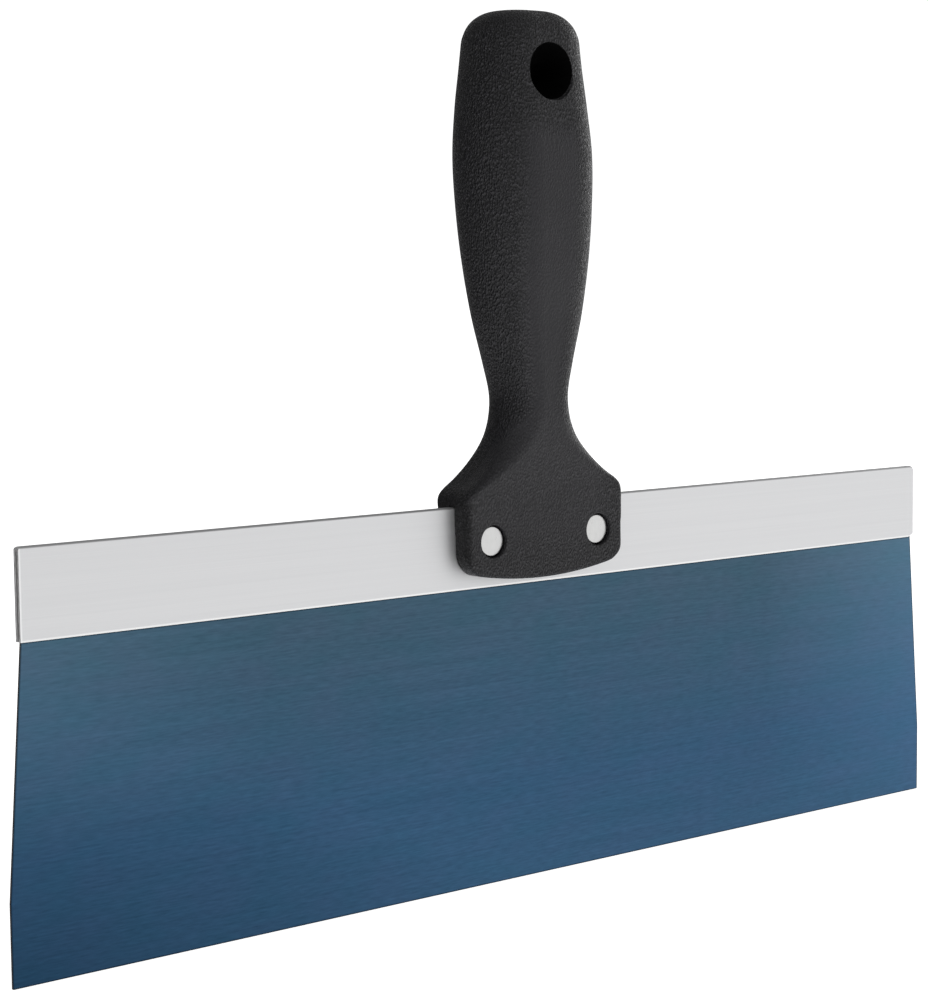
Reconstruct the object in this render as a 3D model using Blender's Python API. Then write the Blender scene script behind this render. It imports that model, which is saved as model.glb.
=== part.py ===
"""Drywall taping knife: blued blade, folded aluminium spine, moulded handle, two cutlery rivets.

Frame: origin in the middle of the working edge, +Z up the handle, +X along the edge to the
knife's left hand side as it faces -Y, -Y the front face. Units are metres.
"""

import math

import bmesh
import bpy

MM = 0.001

# Blade: spring steel sheet, 12 inch working edge, 3 inch of it showing below the spine.
BLADE_WIDTH = 304.8 * MM
BLADE_EXPOSED = 76.2 * MM
BLADE_THICKNESS = 0.5 * MM
BLADE_PARALLEL = 19.0 * MM
BLADE_TAPER = 4.2 * MM
BLADE_CORNER = 0.25 * MM
CORNER_ARC_STEPS = 3

# Spine: aluminium sheet folded over the blade's upper edge like a hairpin.
SPINE_LENGTH = 297.2 * MM
SPINE_HEIGHT = 20.9 * MM
SPINE_SHEET = 0.7 * MM
SHEET_GAP = 0.1 * MM
SPINE_THICKNESS = BLADE_THICKNESS + 2.0 * (SPINE_SHEET + SHEET_GAP)
SPINE_FOLD = 0.55 * MM
SPINE_CORNER_LEFT = 0.9 * MM
SPINE_CORNER_RIGHT = 1.6 * MM
SPINE_CLIP_WIDTH = 2.0 * MM
SPINE_CLIP_HEIGHT = 0.9 * MM
SPINE_TOP = BLADE_EXPOSED + SPINE_HEIGHT
FOLD_STEPS = 10
BLADE_TOP_GAP = 0.65 * MM

# Handle: one moulding whose lower end is slotted and straddles the spine. It is riveted on
# with its top leaning HANDLE_TILT degrees towards -X.
HANDLE_HEIGHT = 219.7 * MM
HANDLE_TILT = 0.7
TANG_HALF_DEPTH = 5.7 * MM
TANG_CORNER = 1.8 * MM
LIP_FOOT = 1.65 * MM
LIP_ARC_RADIUS = 117.0 * MM
LIP_CORNER = 5.0 * MM
LIP_EDGE_ROUND = 0.5 * MM
LIP_EDGE_ANGLE = 60.0
SLOT_GAP = 0.15 * MM
DOME_HEIGHT = 8.0 * MM
DOME_INSET = 0.62
GRIP_CORNER_SHARE = (0.75, 0.95)
BLEND_START = 98.0 * MM
BLEND_END = 120.0 * MM

# Height, half width, half depth and setback of the handle's centre line, in millimetres.
HANDLE_STATIONS = (
    (85.0, 26.5, 5.7, 0.0),
    (96.0, 26.7, 6.1, 0.3),
    (99.4, 26.4, 6.4, 0.5),
    (101.2, 24.9, 6.6, 0.6),
    (103.6, 21.3, 6.9, 0.65),
    (107.5, 16.9, 7.4, 0.65),
    (112.5, 12.9, 8.1, 0.7),
    (118.0, 10.6, 8.8, 0.75),
    (124.0, 9.6, 9.3, 0.8),
    (132.0, 11.6, 9.8, 0.9),
    (144.0, 15.2, 10.6, 0.95),
    (158.0, 17.4, 12.2, 1.1),
    (171.0, 18.6, 13.1, 1.3),
    (184.0, 19.1, 13.2, 1.5),
    (196.0, 18.0, 12.6, 1.8),
    (206.0, 16.7, 11.7, 1.8),
    (214.0, 16.0, 10.8, 1.6),
)
TANG_TOP = 90.0 * MM
TANG_RINGS = 3
BLEND_RINGS = 16
GRIP_RINGS = 16
CORNER_STEPS = 6
FLAT_STEPS = 10
DOME_STEPS = 6
HANDLE_SMOOTH_ANGLE = 50.0

# Hang hole, straight through the top of the grip from front to back.
HANG_HOLE_RADIUS = 7.0 * MM
HANG_HOLE_HEIGHT = 204.4 * MM

# Rivets: a solid post from the front driven into a hollow sleeve from the back.
RIVET_SPACING = 35.5 * MM
RIVET_HEIGHT = 88.4 * MM
RIVET_HEAD_RADIUS = 3.7 * MM
RIVET_HEAD_THICKNESS = 0.9 * MM
RIVET_HEAD_CHAMFER = 0.2 * MM
RIVET_HEAD_SINK = 0.95 * MM
POST_RADIUS = 1.5 * MM
SLEEVE_RADIUS = 2.3 * MM
SLEEVE_SHORT = 2.4 * MM
SLEEVE_WALL_END = 0.4 * MM
POST_TIP_GAP = 0.3 * MM
RIVET_GAP = 0.1 * MM
RECESS_RADIUS = 4.15 * MM
HANDLE_HOLE_RADIUS = SLEEVE_RADIUS + RIVET_GAP
SHEET_HOLE_RADIUS = SLEEVE_RADIUS + 2.0 * RIVET_GAP
RECESS_DEPTH = RIVET_HEAD_SINK + RIVET_HEAD_THICKNESS + RIVET_GAP
ROUND_STEPS = 32
METAL_SMOOTH_ANGLE = 30.0
CUTTER_REACH = 30.0 * MM


def material(name, colour, roughness, metallic):
    """A plain Principled material."""
    made = bpy.data.materials.new(name)
    made.use_nodes = True
    shader = made.node_tree.nodes["Principled BSDF"]
    shader.inputs["Base Color"].default_value = (*colour, 1.0)
    shader.inputs["Roughness"].default_value = roughness
    shader.inputs["Metallic"].default_value = metallic
    made.diffuse_color = (*colour, 1.0)
    return made


def finish(name, mesh_tool, made_of=None, smooth_angle=None):
    """Turn a bmesh into a named object, with its faces pointing outwards."""
    bmesh.ops.recalc_face_normals(mesh_tool, faces=mesh_tool.faces)
    mesh = bpy.data.meshes.new(name)
    mesh_tool.to_mesh(mesh)
    mesh_tool.free()
    if smooth_angle is not None:
        mesh.shade_smooth()
        mesh.set_sharp_from_angle(angle=math.radians(smooth_angle))
    thing = bpy.data.objects.new(name, mesh)
    bpy.context.scene.collection.objects.link(thing)
    if made_of is not None:
        mesh.materials.append(made_of)
    return thing


def carry(thing, x=0.0, z=0.0):
    """Place a piece of the tilted handle group. x and z are counted from between the rivets."""
    thing.parent = bpy.data.objects["handle_group"]
    thing.location = (x, 0.0, z)
    return thing


def cut(target, cutter, operation="DIFFERENCE"):
    """Boolean a hidden cutter with the target."""
    cutter.hide_render = True
    cutter.display_type = "WIRE"
    boolean = target.modifiers.new(cutter.name, "BOOLEAN")
    boolean.operation = operation
    boolean.solver = "EXACT"
    boolean.object = cutter


def arc(centre_x, centre_z, radius, start, end, steps):
    """Points on an arc, with angles in degrees counted from +X towards +Z."""
    angles = [math.radians(start + (end - start) * i / steps) for i in range(steps + 1)]
    return [(centre_x + radius * math.cos(a), centre_z + radius * math.sin(a)) for a in angles]


def plate(name, outline, front, back, made_of=None):
    """Extrude an XZ outline from y = front to y = back."""
    tool = bmesh.new()
    near = [tool.verts.new((x, front, z)) for x, z in outline]
    far = [tool.verts.new((x, back, z)) for x, z in outline]
    tool.faces.new(near)
    tool.faces.new(far)
    for i in range(len(outline)):
        j = (i + 1) % len(outline)
        tool.faces.new((near[i], near[j], far[j], far[i]))
    return finish(name, tool, made_of)


def turned(name, profile, steps=ROUND_STEPS, made_of=None, smooth_angle=None):
    """Spin a closed (radius, y) profile about the Y axis. Radius 0 points close the ends."""
    tool = bmesh.new()
    rings = []
    for radius, y in profile:
        if radius == 0.0:
            rings.append([tool.verts.new((0.0, y, 0.0))])
            continue
        turns = [2.0 * math.pi * i / steps for i in range(steps)]
        ring = [(radius * math.cos(a), y, radius * math.sin(a)) for a in turns]
        rings.append([tool.verts.new(point) for point in ring])
    for lower, upper in zip(rings, rings[1:]):
        for i in range(steps):
            j = (i + 1) % steps
            corners = (lower[i % len(lower)], lower[j % len(lower)],
                       upper[j % len(upper)], upper[i % len(upper)])
            tool.faces.new(dict.fromkeys(corners))
    return finish(name, tool, made_of, smooth_angle)


def round_cutter(name, radius, reach, x=0.0, z=0.0):
    """A cylinder along Y for cutting, carried by the handle group."""
    cutter = turned(name, ((0.0, -reach), (radius, -reach), (radius, reach), (0.0, reach)))
    return carry(cutter, x, z)


def blade_half_width(z):
    """Half the blade's width at a height: parallel at first, then tapering to the spine."""
    rise = max(0.0, z - BLADE_PARALLEL) / (BLADE_EXPOSED - BLADE_PARALLEL)
    return BLADE_WIDTH / 2.0 - BLADE_TAPER * min(1.0, rise)


def make_blade():
    """The blade: a thin plate with edge loops where the taper and the spine start."""
    steel = material("blued_steel", (0.065, 0.135, 0.20), 0.38, 0.85)
    top = SPINE_TOP - SPINE_SHEET - BLADE_TOP_GAP
    centre = BLADE_WIDTH / 2.0 - BLADE_CORNER
    foot = arc(-centre, BLADE_CORNER, BLADE_CORNER, 180.0, 270.0, CORNER_ARC_STEPS)
    foot += arc(centre, BLADE_CORNER, BLADE_CORNER, 270.0, 360.0, CORNER_ARC_STEPS)
    levels = [BLADE_PARALLEL, BLADE_EXPOSED, top]
    left = [(-blade_half_width(z), z) for z in levels]
    right = [(blade_half_width(z), z) for z in levels]
    tool = bmesh.new()
    sides = {}
    for y in (-BLADE_THICKNESS / 2.0, BLADE_THICKNESS / 2.0):
        low = [tool.verts.new((x, y, z)) for x, z in foot]
        ups = [tool.verts.new((x, y, z)) for x, z in right]
        downs = [tool.verts.new((x, y, z)) for x, z in left]
        tool.faces.new(low + [ups[0], downs[0]])
        for i in range(len(levels) - 1):
            tool.faces.new((downs[i], ups[i], ups[i + 1], downs[i + 1]))
        sides[y] = low + ups + downs[::-1]
    near, far = sides.values()
    for i in range(len(near)):
        j = (i + 1) % len(near)
        tool.faces.new((near[i], near[j], far[j], far[i]))
    blade = finish("blade", tool, steel)
    for side, x in rivet_places():
        cut(blade, round_cutter(f"blade_hole_{side}", SHEET_HOLE_RADIUS, CUTTER_REACH, x))


def fold_arc(half_depth, top, rise):
    """Half an ellipse from -Y to +Y over the fold, as (y, z) points."""
    turns = [math.pi * i / FOLD_STEPS for i in range(FOLD_STEPS + 1)]
    return [(-half_depth * math.cos(a), top - rise + rise * math.sin(a)) for a in turns]


def make_spine():
    """The spine: a hairpin section along X, trimmed to rounded upper corners."""
    aluminium = material("brushed_aluminium", (0.66, 0.67, 0.68), 0.34, 0.9)
    outer = SPINE_THICKNESS / 2.0
    inner = outer - SPINE_SHEET
    section = [(-outer, BLADE_EXPOSED)]
    section += fold_arc(outer, SPINE_TOP, SPINE_FOLD)
    section += [(outer, BLADE_EXPOSED), (inner, BLADE_EXPOSED)]
    section += reversed(fold_arc(inner, SPINE_TOP - SPINE_SHEET, inner))
    section += [(-inner, BLADE_EXPOSED)]
    tool = bmesh.new()
    ends = []
    for x in (-SPINE_LENGTH / 2.0, SPINE_LENGTH / 2.0):
        ends.append([tool.verts.new((x, y, z)) for y, z in section])
        tool.faces.new(ends[-1])
    for i in range(len(section)):
        j = (i + 1) % len(section)
        tool.faces.new((ends[0][i], ends[0][j], ends[1][j], ends[1][i]))
    spine = finish("spine_channel", tool, aluminium, smooth_angle=METAL_SMOOTH_ANGLE)

    half = SPINE_LENGTH / 2.0
    left, right = SPINE_CORNER_LEFT, SPINE_CORNER_RIGHT
    below = BLADE_EXPOSED - MM
    trim = [(-half - MM, below), (half - SPINE_CLIP_WIDTH, below)]
    trim += [(half - SPINE_CLIP_WIDTH, BLADE_EXPOSED), (half, BLADE_EXPOSED + SPINE_CLIP_HEIGHT)]
    trim += arc(half - right, SPINE_TOP - right, right, 0.0, 90.0, FOLD_STEPS // 2)
    trim += arc(left - half, SPINE_TOP - left, left, 90.0, 180.0, FOLD_STEPS // 2)
    trim += [(-half, BLADE_EXPOSED), (-half - MM, BLADE_EXPOSED)]
    cut(spine, plate("spine_trim", trim, -CUTTER_REACH, CUTTER_REACH), "INTERSECT")
    for side, x in rivet_places():
        cut(spine, round_cutter(f"spine_hole_{side}", SHEET_HOLE_RADIUS, CUTTER_REACH, x))


def station_slope(i, column):
    """The slope of one station column at station i, from its neighbours."""
    before = HANDLE_STATIONS[max(0, i - 1)]
    after = HANDLE_STATIONS[min(len(HANDLE_STATIONS) - 1, i + 1)]
    return (after[column] - before[column]) / (after[0] - before[0])


def handle_size(z):
    """Half width, half depth and setback at height z, on a smooth curve through the stations."""
    height = min(max(z / MM, HANDLE_STATIONS[0][0]), HANDLE_STATIONS[-1][0])
    i = 0
    while i < len(HANDLE_STATIONS) - 2 and HANDLE_STATIONS[i + 1][0] < height:
        i += 1
    low, high = HANDLE_STATIONS[i], HANDLE_STATIONS[i + 1]
    span = high[0] - low[0]
    s = (height - low[0]) / span
    sizes = []
    for column in (1, 2, 3):
        value = (2.0 * s**3 - 3.0 * s**2 + 1.0) * low[column]
        value += (s**3 - 2.0 * s**2 + s) * span * station_slope(i, column)
        value += (3.0 * s**2 - 2.0 * s**3) * high[column]
        value += (s**3 - s**2) * span * station_slope(i + 1, column)
        sizes.append(value * MM)
    return sizes


def section_points(half_width, half_depth, corner_x, corner_y):
    """A rectangle with elliptical corners, going round from the +X side."""
    quarter = []
    for i in range(CORNER_STEPS + 1):
        angle = 0.5 * math.pi * i / CORNER_STEPS
        quarter.append((half_width - corner_x + corner_x * math.cos(angle),
                        half_depth - corner_y + corner_y * math.sin(angle)))
    flat = half_width - corner_x
    middle = [(flat * math.cos(math.pi * i / FLAT_STEPS), half_depth)
              for i in range(1, FLAT_STEPS)]
    mirrored = [(-x, y) for x, y in reversed(quarter)]
    back = quarter + middle + mirrored
    front = [(-x, -y) for x, y in back]
    return back + front


def handle_ring(z):
    """The handle's outline at height z, as (x, y) pairs."""
    half_width, half_depth, setback = handle_size(z)
    share = min(max((z - BLEND_START) / (BLEND_END - BLEND_START), 0.0), 1.0)
    share = share * share * (3.0 - 2.0 * share)
    corner_x = TANG_CORNER + share * (GRIP_CORNER_SHARE[0] * half_width - TANG_CORNER)
    corner_y = TANG_CORNER + share * (GRIP_CORNER_SHARE[1] * half_depth - TANG_CORNER)
    up_dome = max(0.0, (z - HANDLE_HEIGHT + DOME_HEIGHT) / DOME_HEIGHT)
    shrink = 1.0 - DOME_INSET * (1.0 - math.sqrt(max(0.0, 1.0 - up_dome**2)))
    sizes = [shrink * size for size in (half_width, half_depth, corner_x, corner_y)]
    return [(x, y + setback) for x, y in section_points(*sizes)]


def lip_height(x):
    """Height of the handle's lower edge: a shallow arc that turns up at both corners."""
    half_width = handle_size(0.0)[0]
    straight = half_width - LIP_CORNER
    reach = min(abs(x), half_width)
    height = BLADE_EXPOSED + LIP_FOOT + reach**2 / (2.0 * LIP_ARC_RADIUS)
    over = max(0.0, reach - straight)
    return height + LIP_CORNER - math.sqrt(max(0.0, LIP_CORNER**2 - over**2))


def make_handle():
    """The handle: rings lofted from the lip to the dome, then slotted and drilled."""
    plastic = material("black_plastic", (0.028, 0.028, 0.030), 0.55, 0.0)
    steps_up = [(TANG_TOP, BLEND_START, TANG_RINGS), (BLEND_START, BLEND_END, BLEND_RINGS),
                (BLEND_END, HANDLE_HEIGHT - DOME_HEIGHT, GRIP_RINGS)]
    heights = [low + (high - low) * i / n for low, high, n in steps_up for i in range(n)]
    for i in range(DOME_STEPS + 1):
        rise = math.sin(0.5 * math.pi * i / DOME_STEPS)
        heights.append(HANDLE_HEIGHT - DOME_HEIGHT * (1.0 - rise))

    tool = bmesh.new()
    foot = handle_ring(0.0)
    rings = []
    for share in (0.0, 0.5):
        levels = [lip_height(x) + share * (TANG_TOP - lip_height(x)) for x, _ in foot]
        rings.append([tool.verts.new((x, y, z)) for (x, y), z in zip(foot, levels)])
    for z in heights:
        rings.append([tool.verts.new((x, y, z)) for x, y in handle_ring(z)])
    count = len(foot)
    for lower, upper in zip(rings, rings[1:]):
        for i in range(count):
            j = (i + 1) % count
            tool.faces.new((lower[i], lower[j], upper[j], upper[i]))
    tool.faces.new(rings[-1])
    bottom = rings[0]
    half = count // 2
    for i in range(half - 1):
        corners = (bottom[i], bottom[i + 1], bottom[count - 2 - i], bottom[count - 1 - i])
        tool.faces.new(corners)
    handle = carry(finish("handle", tool, plastic, smooth_angle=HANDLE_SMOOTH_ANGLE), z=-RIVET_HEIGHT)

    rounding = handle.modifiers.new("lip_rounding", "BEVEL")
    rounding.width = LIP_EDGE_ROUND
    rounding.segments = 2
    rounding.limit_method = "ANGLE"
    rounding.angle_limit = math.radians(LIP_EDGE_ANGLE)

    slot_half = SPINE_THICKNESS / 2.0 + SLOT_GAP
    slot_top = SPINE_TOP + SLOT_GAP
    reach = BLADE_WIDTH / 4.0
    slot = [(-reach, 0.0), (reach, 0.0), (reach, slot_top), (-reach, slot_top)]
    cut(handle, plate("handle_slot", slot, -slot_half, slot_half))
    cut(handle, round_cutter("hang_hole", HANG_HOLE_RADIUS, CUTTER_REACH,
                             z=HANG_HOLE_HEIGHT - RIVET_HEIGHT))
    floor = TANG_HALF_DEPTH - RECESS_DEPTH
    outside = 2.0 * TANG_HALF_DEPTH
    for side, x in rivet_places():
        profile = ((0.0, -outside), (RECESS_RADIUS, -outside), (RECESS_RADIUS, -floor),
                   (HANDLE_HOLE_RADIUS, -floor), (HANDLE_HOLE_RADIUS, floor),
                   (RECESS_RADIUS, floor), (RECESS_RADIUS, outside), (0.0, outside))
        cut(handle, carry(turned(f"rivet_hole_{side}", profile), x))


def make_handle_group():
    """An empty between the rivets, which tilts the handle, the rivets and their holes."""
    group = bpy.data.objects.new("handle_group", None)
    group.location = (0.0, 0.0, RIVET_HEIGHT)
    group.rotation_euler = (0.0, -math.radians(HANDLE_TILT), 0.0)
    bpy.context.scene.collection.objects.link(group)


def rivet_places():
    """Each rivet's side and its x in the handle group."""
    return (("left", -RIVET_SPACING / 2.0), ("right", RIVET_SPACING / 2.0))


def make_rivets():
    """Two cutlery rivets: a post with its head at the front, a sleeve with its head behind."""
    nickel = material("nickel_plate", (0.72, 0.72, 0.71), 0.25, 1.0)
    face = TANG_HALF_DEPTH - RIVET_HEAD_SINK
    seat = face - RIVET_HEAD_THICKNESS
    rim = RIVET_HEAD_RADIUS - RIVET_HEAD_CHAMFER
    bore = POST_RADIUS + RIVET_GAP
    mouth = -SLEEVE_SHORT
    bore_end = seat - SLEEVE_WALL_END
    tip = bore_end - POST_TIP_GAP
    post_profile = ((0.0, -face), (rim, -face), (RIVET_HEAD_RADIUS, -face + RIVET_HEAD_CHAMFER),
                    (RIVET_HEAD_RADIUS, -seat), (POST_RADIUS, -seat),
                    (POST_RADIUS, tip), (0.0, tip))
    sleeve_profile = ((0.0, face), (rim, face), (RIVET_HEAD_RADIUS, face - RIVET_HEAD_CHAMFER),
                      (RIVET_HEAD_RADIUS, seat), (SLEEVE_RADIUS, seat), (SLEEVE_RADIUS, mouth),
                      (bore, mouth), (bore, bore_end), (0.0, bore_end))
    for side, x in rivet_places():
        for kind, profile in (("post", post_profile), ("sleeve", sleeve_profile)):
            carry(turned(f"rivet_{kind}_{side}", profile, ROUND_STEPS, nickel,
                         METAL_SMOOTH_ANGLE), x)


for old in list(bpy.data.objects):
    bpy.data.objects.remove(old)
make_handle_group()
make_blade()
make_spine()
make_handle()
make_rivets()
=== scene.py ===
"""Looks of the drywall taping knife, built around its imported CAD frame. Units are metres."""

import math

import bmesh
import bpy
from mathutils import Matrix, Vector


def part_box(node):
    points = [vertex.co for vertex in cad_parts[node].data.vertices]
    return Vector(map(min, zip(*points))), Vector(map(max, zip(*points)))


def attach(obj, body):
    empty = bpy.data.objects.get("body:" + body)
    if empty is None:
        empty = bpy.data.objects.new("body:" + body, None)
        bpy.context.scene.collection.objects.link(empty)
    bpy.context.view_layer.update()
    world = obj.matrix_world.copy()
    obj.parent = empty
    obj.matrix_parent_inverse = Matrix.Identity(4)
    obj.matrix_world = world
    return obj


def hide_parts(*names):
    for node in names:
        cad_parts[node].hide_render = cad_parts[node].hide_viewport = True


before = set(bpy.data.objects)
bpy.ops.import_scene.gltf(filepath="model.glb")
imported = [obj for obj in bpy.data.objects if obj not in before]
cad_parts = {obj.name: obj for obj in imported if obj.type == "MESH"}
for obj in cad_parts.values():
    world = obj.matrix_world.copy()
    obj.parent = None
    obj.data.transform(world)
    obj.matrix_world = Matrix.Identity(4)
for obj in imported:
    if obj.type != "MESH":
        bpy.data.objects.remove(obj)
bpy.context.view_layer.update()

MM = 0.001

# Sizes shared with the CAD, read from its boxes where a box gives them.
BLADE_HIGH = Vector(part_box("blade")[1])
SPINE_LOW, SPINE_HIGH = (Vector(corner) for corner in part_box("spine_channel"))
HANDLE_HIGH = Vector(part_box("handle")[1])
POST_LOW, POST_HIGH = (Vector(corner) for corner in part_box("rivet_post_left"))
SLEEVE_LOW, SLEEVE_HIGH = (Vector(corner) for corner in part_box("rivet_sleeve_left"))

BLADE_HALF_WIDTH = BLADE_HIGH.x
BLADE_HALF_DEPTH = BLADE_HIGH.y
BLADE_PARALLEL = 19.0 * MM
BLADE_TAPER = 4.2 * MM
BLADE_CORNER = 0.25 * MM
BLADE_EDGE_ROUND = 0.06 * MM

SPINE_BOTTOM = SPINE_LOW.z
SPINE_TOP = SPINE_HIGH.z
SPINE_HALF_LENGTH = SPINE_HIGH.x
SPINE_HALF_DEPTH = SPINE_HIGH.y
SPINE_SHEET = 0.7 * MM
SPINE_FOLD = 0.55 * MM
SPINE_CORNERS = (0.9 * MM, 1.6 * MM)
SPINE_CLIP = (2.0 * MM, 0.9 * MM)
SPINE_EDGE_ROUND = 0.22 * MM

RIVET_HEIGHT = 88.4 * MM
RIVET_SPACING = 35.5 * MM
HANDLE_TILT = math.radians(0.7)
HANDLE_TOP = 219.7 * MM
TANG_HALF_DEPTH = 5.7 * MM
TANG_CORNER = 1.8 * MM
LIP_FOOT = 1.65 * MM
LIP_ARC_RADIUS = 117.0 * MM
LIP_CORNER = 5.0 * MM
LIP_EDGE_ROUND = 0.7 * MM
SLOT_GAP = 0.15 * MM
DOME_HEIGHT = 8.0 * MM
DOME_INSET = 0.62
GRIP_CORNER_SHARE = (0.75, 0.95)
BLEND_START = 98.0 * MM
BLEND_END = 120.0 * MM
HANG_HOLE_RADIUS = 7.0 * MM
HANG_HOLE_HEIGHT = 204.4 * MM
RECESS_RADIUS = 4.15 * MM
RECESS_FLOOR = 3.75 * MM
HANDLE_HOLE_RADIUS = 2.4 * MM
SHEET_HOLE_RADIUS = 2.5 * MM
CUTTER_REACH = 30.0 * MM
SPINE_SPARE = 1.0 * MM
TRIM_REACH = 5.0 * MM

HANG_HOLE_ROUND = 0.35 * MM
HANG_HOLE_DISH = 0.1 * MM
RECESS_ROUND = 0.25 * MM
# The two seams' ridge on the handle: how proud and how far off the middle, in millimetres.
SEAM = ((0.035, 0.10), (0.0, 0.28))

HEAD_THICKNESS = 0.9 * MM
HEAD_CROWN = 0.05 * MM
HEAD_ROUND = 0.22 * MM
POST_RADIUS = 1.5 * MM
POST_TIP = 0.3 * MM
SLEEVE_RADIUS = 2.3 * MM
SLEEVE_WALL_END = 0.4 * MM
RIVET_GAP = 0.1 * MM

# Height, half width, half depth and setback of the handle's centre line, in millimetres.
HANDLE_STATIONS = (
    (85.0, 26.5, 5.7, 0.0),
    (96.0, 26.7, 6.1, 0.3),
    (99.4, 26.4, 6.4, 0.5),
    (101.2, 24.9, 6.6, 0.6),
    (103.6, 21.3, 6.9, 0.65),
    (107.5, 16.9, 7.4, 0.65),
    (112.5, 12.9, 8.1, 0.7),
    (118.0, 10.6, 8.8, 0.75),
    (124.0, 9.6, 9.3, 0.8),
    (132.0, 11.6, 9.8, 0.9),
    (144.0, 15.2, 10.6, 0.95),
    (158.0, 17.4, 12.2, 1.1),
    (171.0, 18.6, 13.1, 1.3),
    (184.0, 19.1, 13.2, 1.5),
    (196.0, 18.0, 12.6, 1.8),
    (206.0, 16.7, 11.7, 1.8),
    (214.0, 16.0, 10.8, 1.6),
)
CORNER_STEPS = 18
FLAT_STEPS = 36
LIP_STEPS = 6
FOOT_STEPS = 5
FOOT_TOP = 91.0 * MM
RING_STEP = 0.9 * MM
DOME_STEPS = 16
CAP_STEPS = 6
FOLD_STEPS = (24, 16)
SHEET_CORNER_STEPS = 10
BLADE_CORNER_STEPS = 6
EDGE_STEPS = 6
CROWN_STEPS = 8
RIM_STEPS = 5
ROUND_STEPS = 96

# Bands where the blade's blue darkens: along its cut edges, and just under the spine, where it is
# painted shade from the spine's lip.
EDGE_BAND = (0.20 * MM, 0.42 * MM)
EDGE_SHADE = 0.42
LIP_BAND = (0.22 * MM, 0.55 * MM)
LIP_SHADE = 0.30
# Band along the spine's lower edge and left end, painted toward white as a highlight and made a
# little smoother.
EDGE_HIGHLIGHT_BAND = (0.25 * MM, 0.55 * MM)
# Band over the spine's fold, painted darker as shade.
FOLD_BAND = (0.25 * MM, 0.55 * MM)
FOLD_SHADE = 0.55

# Blade colours: painted shade low on the left, plain elsewhere, painted reflection near the spine,
# and the casts of its faint patches.
SHADED_DEEP_BLUE = (0.0145, 0.045, 0.091)
PLAIN_BLUE = (0.039, 0.102, 0.192)
REFLECTED_GREY_BLUE = (0.064, 0.119, 0.161)
TEAL_CAST = (0.95, 1.01, 0.98)
WARM_CAST = (1.09, 1.0, 1.0)
# Where along the blade the painted shade of deep blue fades out, and where the painted light of
# the paler ends fades in.
SHADED_DEEP_BLUE_BAND = (-170.0 * MM, -10.0 * MM)
LIT_PALE_END_BAND = (85.0 * MM, 155.0 * MM)
DARK_OXIDE = (0.045, 0.042, 0.040)
BARE_OXIDE = (0.110, 0.098, 0.090)

WHITE = (1.0, 1.0, 1.0)
SHEET_GREY = (0.752, 0.755, 0.766)
SHEET_PALE = (0.815, 0.817, 0.826)
CUT_GREY = (0.74, 0.74, 0.75)
CUT_PALE = (0.97, 0.97, 0.98)
NICKEL_DULL = (0.72, 0.72, 0.715)
NICKEL_BRIGHT = (0.78, 0.78, 0.775)

# Handle blacks: pits painted darker as shade, pebble tops painted lighter as glints.
PIT_SHADE_BLACK = (0.0023, 0.0022, 0.0034)
PEBBLE_GLINT_BLACK = (0.0188, 0.0177, 0.0225)
# Colours inside the hang hole, darker than the handle's black as painted shade.
BORE_SHADE_DARK = (0.0008, 0.0008, 0.0008)
BORE_SHADE_BLACK = (0.002, 0.002, 0.002)
# Smoother strip on the handle's front: bands of height where its half width changes, how far
# it lies left of the middle, the softness of its border, and where it ends and is best polished.
STRIP_GRIP_RISE = (124.0 * MM, 155.0 * MM)
STRIP_GRIP_HALF_WIDTH = (4.5 * MM, 8.5 * MM)
STRIP_TANG_RISE = (104.0 * MM, 120.0 * MM)
STRIP_TANG_WIDER = 17.0 * MM
STRIP_OFFSET = 2.5 * MM
STRIP_BORDER = 2.0 * MM
STRIP_TOP = (187.0 * MM, 195.0 * MM)
STRIP_POLISH_RISE = (104.0 * MM, 125.0 * MM)
# Bands where the pebbling grows coarser, and where the tang's left side is darkened as painted
# shade and made duller.
COARSE_TOP = (188.0 * MM, 202.0 * MM)
COARSE_FOOT = (82.0 * MM, 90.0 * MM)
SHADED_DULL_SIDE = (-24.5 * MM, -26.2 * MM)
SHADED_DULL_SIDE_TOP = (96.0 * MM, 102.0 * MM)

# Grain of each surface, in cells for each metre along X, Y and Z.
BLUED_CLOUDS = (6.0, 1.0, 14.0)
BLUED_TINTS = (55.0, 1.0, 120.0)
BLUED_FINE_GRAIN = (260.0, 1.0, 2000.0)
BLUED_LONG_GRAIN = (14.0, 1.0, 1300.0)
OXIDE_MARKS = (1800.0, 400.0, 1800.0)
SHEET_FINE_GRAIN = (18.0, 900.0, 6000.0)
SHEET_LONG_GRAIN = (4.0, 200.0, 900.0)
CUT_MARKS = (300.0, 3000.0, 900.0)
PEBBLE_GRAIN = (2300.0, 2300.0, 1500.0)
WEAR_PATCHES = (90.0, 90.0, 90.0)
BORE_DRAG = (900.0, 120.0, 900.0)
NICKEL_SCUFFS = (900.0, 900.0, 350.0)
# Most of a cloudy noise lies between these two values.
CLOUD_RANGE = (0.3, 0.7)
# What that noise does: brightness of the blade's streaks, and roughness of each surface.
STREAK_LIGHT = (0.80, 1.20)
BLUED_ROUGHNESS = (0.33, 0.43)
OXIDE_ROUGHNESS = (0.5, 0.7)
SHEET_ROUGHNESS = (0.46, 0.58)
CUT_ROUGHNESS = (0.55, 0.70)
PLASTIC_ROUGHNESS = (0.60, 0.32)
BORE_ROUGHNESS = (0.6, 0.8)
NICKEL_ROUGHNESS = (0.26, 0.36)
BLUED_BRUSHING = 0.5
SHEET_BRUSHING = 0.4
PLASTIC_SPECULAR = 0.44
BORE_SPECULAR = 0.05

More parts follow.
